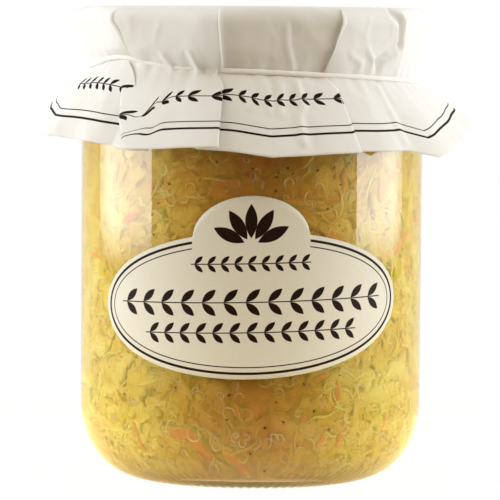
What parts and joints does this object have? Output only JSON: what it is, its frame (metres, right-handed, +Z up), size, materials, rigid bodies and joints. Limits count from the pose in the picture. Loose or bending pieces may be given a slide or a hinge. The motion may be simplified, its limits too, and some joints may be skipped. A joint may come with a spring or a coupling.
{
  "type": "sauerkraut jar",
  "caption": "Clear glass jar of shredded sauerkraut salad with an oval paper label, its metal cap covered by a pleated paper sheet tied round the neck with a white elastic.",
  "frame": {"origin": "middle of the jar's base, on the surface that it stands on", "axes": "+Z up along the jar's axis, -Y out of the front through the middle of the label, +X to the right seen from the front"},
  "size_m": [0.109, 0.1091, 0.1195],
  "materials": {
    "glass": "clear, smooth",
    "cap_metal": "lacquered tinplate",
    "cover_paper": "smooth white paper with a printed double border line",
    "elastic_thread": "white covered elastic",
    "label_paper": "cream paper with dark brown print",
    "sauerkraut": null
  },
  "bodies": {
    "root": {"glass_jar": "glass", "metal_cap": "cap_metal", "paper_cover": "cover_paper", "elastic": "elastic_thread", "front_label": "label_paper", "sauerkraut": "sauerkraut"}
  },
  "joints": []
}
